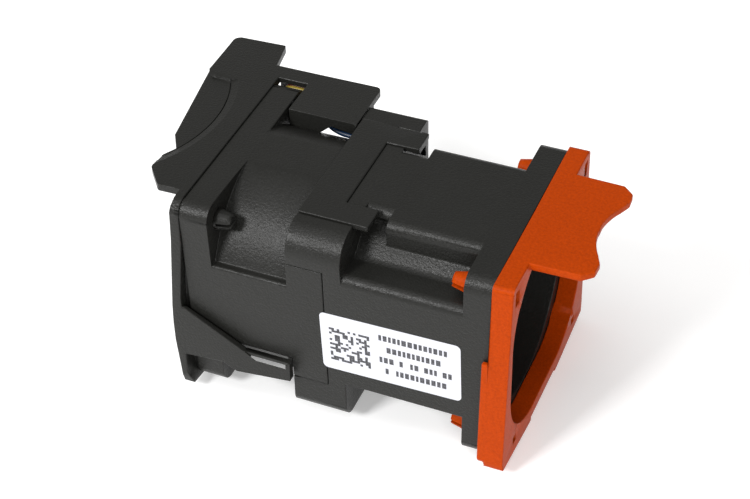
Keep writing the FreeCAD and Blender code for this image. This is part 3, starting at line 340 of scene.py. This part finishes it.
def shapeRib(work):
    (start, end), (high, low), close = ribValues["span"], ribValues["drop"], ribValues["close"] * mm
    for vertex in work.verts:
        if start * mm < vertex.co.y < end * mm:
            for (x, z), (newX, newZ) in ribValues["corners"].items():
                if abs(vertex.co.x - x * mm) < close and abs(vertex.co.z - z * mm) < close:
                    vertex.co.x, vertex.co.z = newX * mm, newZ * mm
            if vertex.co.x < ribValues["edge"] * mm and abs(vertex.co.z - high * mm) < close:
                vertex.co.z = low * mm


def boxesMesh(name, boxes):
    # closed boxes, each given by its lowest and highest corner in mm
    points, faces = [], []
    for (ax, ay, az), (bx, by, bz) in boxes:
        first = len(points)
        points += [(x * mm, y * mm, z * mm) for x in (ax, bx) for y in (ay, by) for z in (az, bz)]
        faces += [tuple(first + i for i in side) for side in
                  ((0, 1, 3, 2), (4, 6, 7, 5), (0, 4, 5, 1), (2, 3, 7, 6), (0, 2, 6, 4), (1, 5, 7, 3))]
    mesh = bpy.data.meshes.new(name)
    mesh.from_pydata(points, [], faces)
    return mesh


def prismMesh(name, section, span):
    # a closed prism along x: the section's corners (y, z) at both ends of the span, in mm
    count = len(section)
    points = [(x * mm, y * mm, z * mm) for x in span for y, z in section]
    faces = [tuple(range(count)), tuple(range(2 * count - 1, count - 1, -1))]
    faces += [(i, i + count, (i + 1) % count + count, (i + 1) % count) for i in range(count)]
    mesh = bpy.data.meshes.new(name)
    mesh.from_pydata(points, [], faces)
    faceOutward(mesh)
    return mesh


def faceOutward(mesh):
    work = bmesh.new()
    work.from_mesh(mesh)
    bmesh.ops.recalc_face_normals(work, faces=work.faces)
    work.to_mesh(mesh)
    work.free()


# Marks cut into the mouldings in mm: an arc on the finger plate and the two stretches of seam behind the clip.
# The arc's edges are the distances from its middle that stay crisp; a seam has its span in x and section (y, z).
markValues = {"arc": {"middle": (-58.7, 5.0), "radius": 25.35, "width": 0.24, "turn": (-30, 27.5), "floor": 39.6,
                      "edges": (25.23, 25.3, 25.47, 26.9), "low": 39.5, "top": 41},
              "seam": (((-8.7, -1.8), ((13.75, 39.55), (14.3, 40.1), (14.3, 41.0), (13.75, 41.0))),
                       ((-1.8, 2.8), ((13.5, 39.35), (14.4, 40.25), (14.4, 41.0), (13.5, 41.0))))}


def arcMesh(values):
    # a bar bent round the middle: point = middle + radius * (cos, sin) of the turn
    points, faces, steps = [], [], 24
    (cx, cy), half = values["middle"], values["width"] / 2
    for step in range(steps + 1):
        angle = math.radians(values["turn"][0] + (values["turn"][1] - values["turn"][0]) * step / steps)
        for out, level in ((-half, values["floor"]), (half, values["floor"]),
                           (half, values["top"]), (-half, values["top"])):
            reach = values["radius"] + out
            points.append(((cx + reach * math.cos(angle)) * mm, (cy + reach * math.sin(angle)) * mm, level * mm))
        if step:
            first = 4 * step - 4
            faces += [(first + i, first + (i + 1) % 4, first + (i + 1) % 4 + 4, first + i + 4) for i in range(4)]
    faces += [(3, 2, 1, 0), tuple(4 * steps + i for i in range(4))]
    mesh = bpy.data.meshes.new("arc_cutter")
    mesh.from_pydata(points, [], faces)
    return mesh


def carve(piece, mesh):
    # takes the cutter's volume out of the piece, keeps the result as its mesh and drops the cutter
    cutter = bpy.data.objects.new(mesh.name, mesh)
    bpy.context.scene.collection.objects.link(cutter)
    faceOutward(mesh)
    cut = piece.modifiers.new("cut", "BOOLEAN")
    cut.operation, cut.solver, cut.object = "DIFFERENCE", "EXACT", cutter
    carved = bpy.data.meshes.new_from_object(piece.evaluated_get(bpy.context.evaluated_depsgraph_get()))
    piece.modifiers.remove(cut)
    carved.set_sharp_from_angle(angle=creaseAngle)
    piece.data = carved
    bpy.data.objects.remove(cutter)


def sharpenArc(mesh, values):
    # the step is too shallow for the angle test, so its edges are marked by their distance from the middle
    cx, cy = values["middle"]
    for edge in mesh.edges:
        ends = [mesh.vertices[i].co / mm for i in edge.vertices]
        reach = [math.hypot(end.x - cx, end.y - cy) for end in ends]
        onMark = any(max(abs(r - mark) for r in reach) < 0.03 for mark in values["edges"])
        if onMark and min(end.z for end in ends) > values["low"]:
            edge.use_edge_sharp = True


for node, radius in edgeValues.items():
    piece = easeEdges(node, radius, shapeRib if node == "exhaust_bracket" else None)
    if node == "exhaust_bracket":
        carve(piece, arcMesh(markValues["arc"]))
        sharpenArc(piece.data, markValues["arc"])
    if node in ("connector_housing", "exhaust_fan_frame"):
        for span, section in markValues["seam"]:
            carve(piece, prismMesh("seam_cutter", section, span))
    smooth = piece.modifiers.new("flatFaces", "WEIGHTED_NORMAL")
    smooth.keep_sharp = True


# Under each flat wall of the exhaust fan a slanted lip runs in to the round duct: section in mm (y, z).
lipValues = {"section": ((20.0, 11.6), (19.3, 10.0), (17.4, 10.0), (17.4, 11.6)), "span": (-22.8, -8.6),
             "tab": ((-9.4, -8.6), (19.2, 20.0), (9.3, 11.6))}


def addLips(values):
    for side, sideName in ((-1, "front"), (1, "rear")):
        mesh = prismMesh("lip_" + sideName, [(side * y, z) for y, z in values["section"]], values["span"])
        addPiece("lip_" + sideName, mesh, bodyOf["exhaust_fan_frame"], finishOf("exhaust_fan_frame"))
    (x0, x1), (y0, y1), (z0, z1) = values["tab"]
    addPiece("lip_tab", boxesMesh("lip_tab", [((x0, -y1, z0), (x1, -y0, z1))]), bodyOf["exhaust_fan_frame"],
             finishOf("exhaust_fan_frame"))


addLips(lipValues)

# The exhaust fan's four leads, in mm: start (x, z), place (y, z) beside the flange, way to the connector.
leadValues = {
    "blue": {"start": (-26.4, 20.7), "rise": (20.9, 36.7),
             "way": ((-18.8, 17.8, 36.8), (-15.9, 14.9, 36.2), (-13.9, 14.5, 35.5), (-12.0, 14.5, 35.15))},
    "black": {"start": (-26.4, 19.6), "rise": (21.75, 36.7),
              "way": ((-18.2, 18.8, 37.0), (-15.5, 15.6, 37.0), (-13.3, 15.1, 36.3), (-11.5, 15.1, 35.95))},
    "yellow": {"start": (-27.5, 20.7), "rise": (20.9, 37.85),
               "way": ((-18.6, 18.2, 38.2), (-14.5, 16.6, 38.1), (-11.5, 16.3, 37.2))},
    "red": {"start": (-27.5, 19.6), "rise": (21.85, 37.75),
            "way": ((-17.5, 19.9, 37.9), (-13.0, 17.8, 37.2), (-11.0, 17.7, 36.5))}}
leadEnds = {"blue": (14.6, 35.15), "black": (15.2, 35.95), "yellow": (16.3, 36.8), "red": (17.7, 36.1)}


def addSoftLead(colour, values, radius=0.5):
    # A drawn wire doesn't fold at a corner: the centre line is a smooth spline of order 3.
    (x, low), (y, top) = values["start"], values["rise"]
    points = [(x, 10.6, low), (x, 14.0, low), (x, 18.5, low), (x, y - 0.35, low), (x, y, low + 0.8)]
    points += [(x, y, 24.0 + 3.7 * turn) for turn in range(4)]
    points += [(x + 0.15, y, top - 0.5), (x + 1.3, y, top), (-24.0, y, top), (-22.6, y - 0.1, top)]
    points += list(values["way"]) + [(-8.8,) + leadEnds[colour]]
    curve = bpy.data.curves.new("soft_lead_" + colour, "CURVE")
    curve.dimensions = "3D"
    curve.bevel_depth = radius * mm
    curve.bevel_resolution = 5
    curve.use_fill_caps = True
    spline = curve.splines.new("NURBS")
    spline.points.add(len(points) - 1)
    for knot, point in zip(spline.points, points):
        knot.co = (point[0] * mm, point[1] * mm, point[2] * mm, 1)
    spline.order_u = 3
    spline.use_endpoint_u = True
    spline.resolution_u = 10
    node = "exhaust_lead_" + colour
    lead = bpy.data.objects.new("soft_lead_" + colour, curve)
    bpy.context.scene.collection.objects.link(lead)
    curve.materials.append(finishOf(node))
    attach(lead, bodyOf[node])
    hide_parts(node)


for colour, values in leadValues.items():
    addSoftLead(colour, values)
print("soft leads made:", len(leadValues))

# The sticker on the front wall, in mm: middle, size, corner radius, turn in degrees and thickness.
stickerValues = {"middle": (10.2, 18.55), "size": (25.6, 12.7), "corner": 0.9, "turn": 1.3, "thick": 0.06,
                 "cells": 15, "cell": 0.5, "fill": 0.96, "block": (-9.3, -0.35), "blockShift": 1.9,
                 "lines": (3.85, 1.3, -1.2, -3.7), "starts": (-2.0, -0.6, -2.0, -2.0), "ends": (11.0, 9.2, 11.2, 9.6),
                 "letter": 1.25, "narrow": 0.45, "spread": 0.4, "space": 0.28, "blank": 0.12, "ink": 0.02}


def turnAbout(mesh, values):
    # a turn in the wall's plane about the sticker's middle
    angle = math.radians(values["turn"])
    cx, cz = values["middle"]
    for vertex in mesh.vertices:
        x, z = vertex.co.x - cx * mm, vertex.co.z - cz * mm
        vertex.co.x = cx * mm + x * math.cos(angle) - z * math.sin(angle)
        vertex.co.z = cz * mm + x * math.sin(angle) + z * math.cos(angle)


def addSticker(values):
    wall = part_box("intake_fan_frame")[0].y / mm
    cx, cz = values["middle"]
    half = [side / 2 - values["corner"] for side in values["size"]]
    rim = []
    for sx, sz, start in ((1, 1, 0), (-1, 1, 90), (-1, -1, 180), (1, -1, 270)):
        for step in range(7):
            angle = math.radians(start + step * 15)
            rim.append((cx + sx * half[0] + values["corner"] * math.cos(angle),
                        cz + sz * half[1] + values["corner"] * math.sin(angle)))
    count = len(rim)
    points = [(x * mm, (wall - depth) * mm, z * mm) for depth in (values["thick"], 0) for x, z in rim]
    faces = [tuple(range(count)), tuple(range(2 * count - 1, count - 1, -1))]
    faces += [(i, i + count, (i + 1) % count + count, (i + 1) % count) for i in range(count)]
    mesh = bpy.data.meshes.new("sticker")
    mesh.from_pydata(points, [], faces)
    turnAbout(mesh, values)
    addPiece("sticker", mesh, "housing", "stickerFilm")
    # the print: a block of squares in no pattern, and rows of bars that spell nothing
    chance = np.random.RandomState(11)
    front = wall - values["thick"]
    inked = front - values["ink"]
    boxes = []
    left, low = cx + values["block"][0], cz + values["block"][1]
    cells, cell = values["cells"], values["cell"]
    filled = chance.rand(cells, cells) < 0.5
    for row in range(cells):
        for column in range(cells):
            if filled[row, column]:
                x, z = left + column * cell - values["blockShift"], low + (row - cells / 2) * cell
                boxes.append(((x, inked, z), (x + cell * values["fill"], front, z + cell * values["fill"])))
    for line, start, end in zip(values["lines"], values["starts"], values["ends"]):
        x = cx + start
        while x < cx + end:
            width = values["narrow"] + values["spread"] * chance.rand()
            if chance.rand() > values["blank"]:
                boxes.append(((x, inked, cz + line - values["letter"] / 2),
                              (x + width, front, cz + line + values["letter"] / 2)))
            x += width + values["space"]
    mesh = boxesMesh("sticker_print", boxes)
    turnAbout(mesh, values)
    addPiece("sticker_print", mesh, "housing", "printInk")


addSticker(stickerValues)
print("sticker made")


def addFloor(values):
    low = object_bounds()[0].z
    mesh = bpy.data.meshes.new("floor")
    size = values["size"]
    corners = [(x * size, y * size, low) for x, y in ((-1, -1), (1, -1), (1, 1), (-1, 1))]
    mesh.from_pydata(corners, [], [(0, 1, 2, 3)])
    floor = bpy.data.objects.new("floor", mesh)
    bpy.context.scene.collection.objects.link(floor)
    material, tree, shader, coords = startMaterial("paleTable")
    mottle = addNode(tree, "ShaderNodeTexNoise", {}, {"Vector": coords, "Scale": values["mottle"], "Detail": 3.0})
    colour = ramp(tree, mottle.outputs["Fac"], [(0.3, "#f2f2f2"), (0.7, "#f6f6f6")])
    tree.links.new(colour, shader.inputs["Base Color"])
    shader.inputs["Roughness"].default_value = 0.9
    shader.inputs["Specular IOR Level"].default_value = 0.0
    shader.inputs["Emission Color"].default_value = (1.0, 1.0, 1.0, 1.0)
    shader.inputs["Emission Strength"].default_value = values["glow"]  # a lit table top
    mesh.materials.append(material)
    floor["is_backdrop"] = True


def addLight(name, place, target, size, power):
    data = bpy.data.lights.new(name, "AREA")
    data.shape = "RECTANGLE"
    data.size, data.size_y = size
    data.energy = power
    light = bpy.data.objects.new(name, data)
    light.location = place
    light.rotation_euler = (Vector(target) - Vector(place)).to_track_quat("-Z", "Y").to_euler()
    bpy.context.scene.collection.objects.link(light)


def addCamera(values):
    data = bpy.data.cameras.new("camera")
    data.lens, data.sensor_width = values["lens"], values["sensor"]
    data.shift_x, data.shift_y = values["shift"]
    data.clip_start, data.clip_end = values["clip"]
    camera = bpy.data.objects.new("camera", data)
    right, up = Vector(values["right"]).normalized(), Vector(values["up"]).normalized()
    turned = Matrix((right, up, right.cross(up))).transposed().to_4x4()
    camera.matrix_world = Matrix.Translation(values["place"]) @ turned
    bpy.context.scene.collection.objects.link(camera)
    bpy.context.scene.camera = camera


lightValues = {
    "key": {"place": (-0.40, -0.77, 0.72), "size": (0.26, 0.26), "power": 9.4},
    "fill": {"place": (0.6, -0.8, 0.5), "size": (0.35, 0.35), "power": 3.8},
    "left": {"place": (-0.9, -0.2, 0.5), "size": (0.35, 0.35), "power": 3.0},
    "overhead": {"place": (0.0, -0.2, 1.2), "size": (0.9, 0.7), "power": 4.0}}
floorValues = {"size": 3.0, "mottle": 40.0, "glow": 0.24}  # half width in m; the glow keeps shadows faint
worldValues = {"colour": (1.0, 0.995, 0.98, 1), "strength": 0.42}
cameraValues = {"lens": 80.17, "sensor": 36.0, "clip": (0.01, 20),
                "shift": (-0.0106, 0.1063), "place": (0.091356, -0.206847, 0.215381),
                "right": (0.92287, 0.38448, -0.02184), "up": (-0.24798, 0.63670, 0.73015)}
addFloor(floorValues)
for name, values in lightValues.items():
    addLight(name, values["place"], (0, 0, 0.02), values["size"], values["power"])
addCamera(cameraValues)
world = bpy.data.worlds.new("studio")
world.use_nodes = True
world.node_tree.nodes["Background"].inputs["Color"].default_value = worldValues["colour"]
world.node_tree.nodes["Background"].inputs["Strength"].default_value = worldValues["strength"]
bpy.context.scene.world = world
bpy.context.scene.view_settings.view_transform = "Standard"
print("studio ready")
